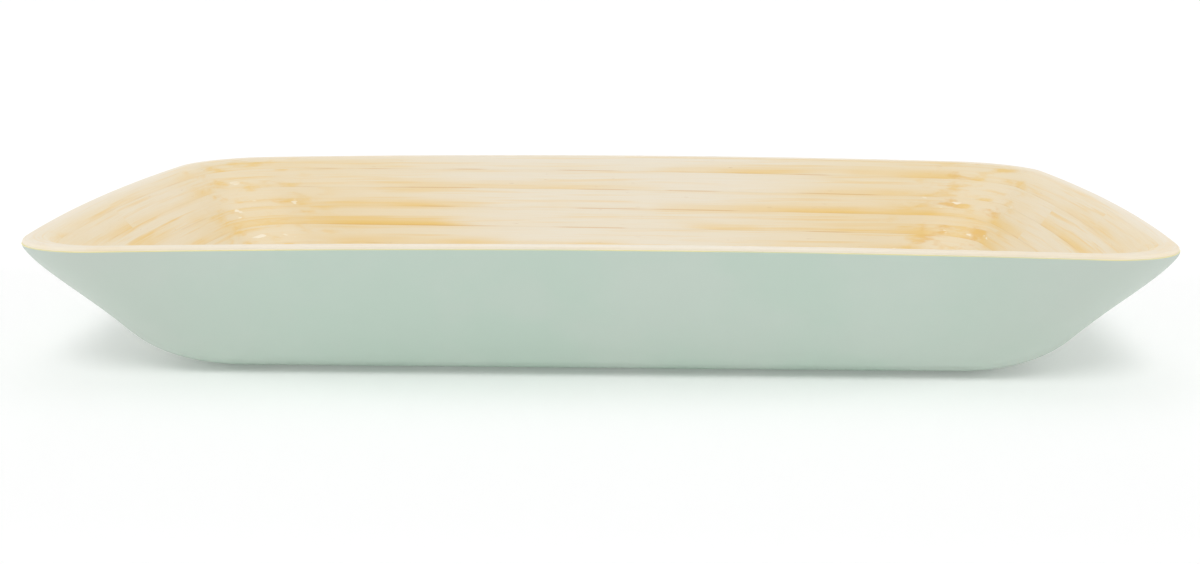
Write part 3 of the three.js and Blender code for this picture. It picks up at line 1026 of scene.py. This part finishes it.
def base_film(form):
    """The film under the floor, out to where the wall's film starts"""
    inner = form.sizes.wood_inset - form.sizes.film_gap
    levels = [(half, 0.0) for half in np.linspace(form.core_half, form.floor_half, BASE_RINGS)]
    levels += [(form.floor_half, inner), (form.core_half, inner)]
    mesh = ring_mesh("base_film", [form.ring(*level) for level in levels])
    below_edge = np.full(len(mesh.vertices), form.edge_height)
    set_film_attributes(mesh, form, [half for half, _ in levels], below_edge)
    return mesh


def set_film_attributes(mesh, form, halves, below_edge):
    """Stores what the lacquer reads: the turn of the winding behind it and its distance from the edge"""
    turns = [form.turns_out_to(half) for half in halves]
    set_attribute(mesh, "strip_turn", np.repeat(turns, len(form.stations)))
    set_attribute(mesh, "edge_distance", below_edge)


# Stage

PHOTO_FRAME = (1200, 564)  # pixels of the photograph, across and down
SENSOR_WIDTH = 36.0  # millimetres, as the camera counts them
CLIP_START = 10 * MM
WHITE = (1.0, 1.0, 1.0, 1.0)
FLOOR_REACH = 12.0  # from the middle of the floor to each side
FLOOR_DROP = 0.1 * MM  # keeps the floor clear of the tray's underside
FLOOR_COLOUR = (0.95, 0.95, 0.95, 1.0)
FLOOR_ROUGHNESS = 0.9
FLOOR_GLOW = 0.1  # lifts the floor to the white of the background, for the camera alone
WORLD_LIGHT = 0.58
WORLD_SEEN = 1.0
SUN_WIDTH = math.radians(20)
FILL_RISE = 0.27  # of the side fills for each metre that they stand away
FILL_STRENGTH = 0.6


class TRAY_OT_stage(bpy.types.Operator):
    """Make the floor, the lights and the camera"""

    bl_idname = "tray.stage"
    bl_label = "Stage"

    def execute(self, context):
        scene = context.scene
        scene.view_settings.view_transform = "Standard"
        make_camera(scene)
        floor = make_floor()
        make_world(scene)
        make_sun("front_key", place=(0.0, -1.0, 1.0), strength=1.05)
        make_sun("back_fill", place=(0.0, 1.0, FILL_RISE), strength=FILL_STRENGTH)
        make_sun("left_fill", place=(-1.0, 0.0, FILL_RISE), strength=FILL_STRENGTH)
        make_sun("right_fill", place=(1.0, 0.0, FILL_RISE), strength=FILL_STRENGTH)
        bounce = make_sun("table_bounce", place=(0.0, 0.0, -1.0), strength=0.75)
        shine_through(bounce, floor)
        make_softbox("overhead", place=(0.0, -0.38, 1.13), size=0.5, watts=0.4)
        return {"FINISHED"}


def turned(first, second, angle):
    """Two axes at right angles, turned in their own plane from the second towards the first"""
    cosine, sine = math.cos(angle), math.sin(angle)
    return cosine * first - sine * second, sine * first + cosine * second


def make_camera(scene):
    """The camera of the photograph: aimed so that the middle of the front edge falls on its pixel"""
    shot = scene.tray_shot
    form = TrayForm(scene.tray_sizes)
    front = Vector((0, -form.rim_half, form.edge_height))
    level = math.cos(shot.elevation)
    out = Vector((
        math.sin(shot.azimuth) * level, -math.cos(shot.azimuth) * level, math.sin(shot.elevation),
    ))
    ahead = -out
    right = ahead.cross(Vector((0, 0, 1))).normalized()
    up = right.cross(ahead)
    pan = math.atan2(shot.edge_x - PHOTO_FRAME[0] / 2, shot.focal_pixels)
    tilt = math.atan2(shot.edge_y - PHOTO_FRAME[1] / 2, shot.focal_pixels)
    ahead, right = turned(ahead, right, pan)
    ahead, up = turned(ahead, up, -tilt)
    right, up = turned(right, up, -shot.roll)
    data = bpy.data.cameras.new("camera")
    data.sensor_width = SENSOR_WIDTH
    data.lens = SENSOR_WIDTH * shot.focal_pixels / PHOTO_FRAME[0]
    data.clip_start = CLIP_START
    camera = bpy.data.objects.new("camera", data)
    axes = Matrix((right, up, -ahead)).transposed()
    camera.matrix_world = Matrix.Translation(front + shot.distance * out) @ axes.to_4x4()
    scene.collection.objects.link(camera)
    scene.camera = camera


def make_floor():
    """A pale floor that keeps the tray's soft shadow and is clear from below"""
    mesh = bpy.data.meshes.new("floor")
    signs = ((-1, -1), (1, -1), (1, 1), (-1, 1))
    corners = [(x * FLOOR_REACH, y * FLOOR_REACH, 0) for x, y in signs]
    mesh.from_pydata(corners, [], [(0, 1, 2, 3)])
    floor = bpy.data.objects.new("floor", mesh)
    floor.location.z = -FLOOR_DROP
    bpy.context.scene.collection.objects.link(floor)
    material, wiring, shader = new_material("floor")
    rays = wiring.add("ShaderNodeLightPath").outputs
    wiring.feed(shader, {
        "Base Color": FLOOR_COLOUR,
        "Roughness": FLOOR_ROUGHNESS,
        "Specular IOR Level": 0.0,
        "Emission Color": WHITE,
        "Emission Strength": wiring.product(rays["Is Camera Ray"], FLOOR_GLOW),
    })
    clear = wiring.add("ShaderNodeBsdfTransparent").outputs[0]
    behind = wiring.add("ShaderNodeNewGeometry").outputs["Backfacing"]
    seen = wiring.add("ShaderNodeMixShader", {0: behind, 1: shader.outputs[0], 2: clear}).outputs[0]
    wiring.fill(material.node_tree.nodes["Material Output"].inputs["Surface"], seen)
    mesh.materials.append(material)
    floor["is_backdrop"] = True
    return floor


def make_world(scene):
    """Soft light from all round, and white where the camera or a reflection sees it"""
    world = bpy.data.worlds.new("studio")
    world.use_nodes = True
    wiring = Wiring(world.node_tree)
    shade = world.node_tree.nodes["Background"]
    rays = wiring.add("ShaderNodeLightPath").outputs
    seen = wiring.math("MAXIMUM", rays["Is Camera Ray"], rays["Is Glossy Ray"])
    seen = wiring.math("MAXIMUM", seen, rays["Is Transmission Ray"])
    shade.inputs["Color"].default_value = WHITE
    wiring.fill(shade.inputs["Strength"], wiring.mix(seen, WORLD_LIGHT, WORLD_SEEN))
    scene.world = world


def new_light(name, kind, place):
    """A linked light that looks from a place towards the tray"""
    light = bpy.data.objects.new(name, bpy.data.lights.new(name, kind))
    light.rotation_euler = (-Vector(place)).to_track_quat("-Z", "Y").to_euler()
    bpy.context.scene.collection.objects.link(light)
    return light


def make_sun(name, place, strength):
    """An even light from the side of a place, with a soft shadow and no glint of its own"""
    light = new_light(name, "SUN", place)
    light.data.energy = strength
    light.data.angle = SUN_WIDTH
    light.visible_glossy = False
    return light


def shine_through(light, floor):
    """Lets a light reach the tray through the floor, as a bright table's own bounce does"""
    blockers = bpy.data.collections.new(light.name + "_blockers")
    blockers.objects.link(floor)
    blockers.collection_objects[0].light_linking.link_state = "EXCLUDE"
    light.light_linking.blocker_collection = blockers


def make_softbox(name, place, size, watts):
    """A square soft light above the tray"""
    light = new_light(name, "AREA", place)
    light.location = place
    light.data.size = size
    light.data.energy = watts


class TRAY_PT_panel(bpy.types.Panel):
    """Lists the steps that dress the tray"""

    bl_idname = "TRAY_PT_panel"
    bl_label = "Wound bamboo tray"
    bl_space_type = "VIEW_3D"
    bl_region_type = "UI"
    bl_category = "Tray"

    def draw(self, context):
        for operator in OPERATORS:
            self.layout.operator(operator.bl_idname)


GROUPS = {"tray_sizes": TraySizes, "tray_finish": TrayFinish, "tray_shot": TrayShot}
OPERATORS = (TRAY_OT_stage, TRAY_OT_strips, TRAY_OT_core, TRAY_OT_lacquer)


def register():
    for cls in (*GROUPS.values(), *OPERATORS, TRAY_PT_panel):
        bpy.utils.register_class(cls)
    for name, group in GROUPS.items():
        setattr(bpy.types.Scene, name, PointerProperty(type=group))


def unregister():
    for name in GROUPS:
        delattr(bpy.types.Scene, name)
    for cls in (TRAY_PT_panel, *reversed(OPERATORS), *reversed(GROUPS.values())):
        bpy.utils.unregister_class(cls)


def main():
    register()
    bpy.ops.tray.stage()
    bpy.ops.tray.strips()
    bpy.ops.tray.core()
    bpy.ops.tray.lacquer()
    boxes = {"cad": CAD_BOX, "visual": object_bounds()}
    {name: [list(corner) for corner in box] for name, box in boxes.items()}


if __name__ == "__main__":
    main()
